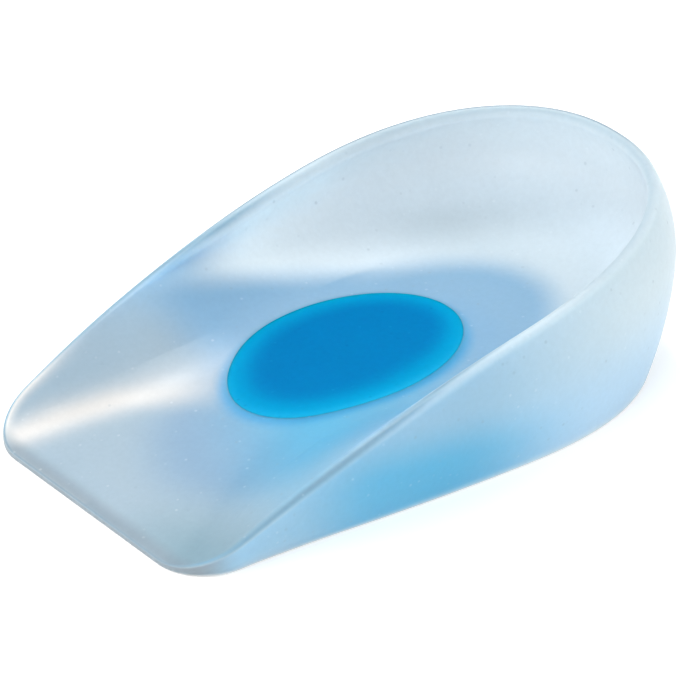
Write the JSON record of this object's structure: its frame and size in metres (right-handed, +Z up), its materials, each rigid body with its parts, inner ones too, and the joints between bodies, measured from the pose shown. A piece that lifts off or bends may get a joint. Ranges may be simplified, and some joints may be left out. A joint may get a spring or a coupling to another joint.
{
  "type": "heel cup",
  "caption": "Soft translucent silicone heel cup: wedge floor with a thin toe edge, side walls rising to a full wall behind the heel, and a softer oval plug under the heel bone.",
  "frame": {"origin": "middle of the underside's bounding box, on the surface that the cup rests on", "axes": "+Z up, +Y towards the back of the heel, -Y the thin toe edge, X across; the left and right halves mirror each other"},
  "size_m": [0.0654, 0.1078, 0.0318],
  "materials": {
    "clear_gel": "milky translucent silicone gel, satin",
    "blue_gel": "softer blue translucent silicone gel, satin"
  },
  "bodies": {
    "root": {"gel_cup": "clear_gel", "soft_plug": "blue_gel"}
  },
  "joints": []
}
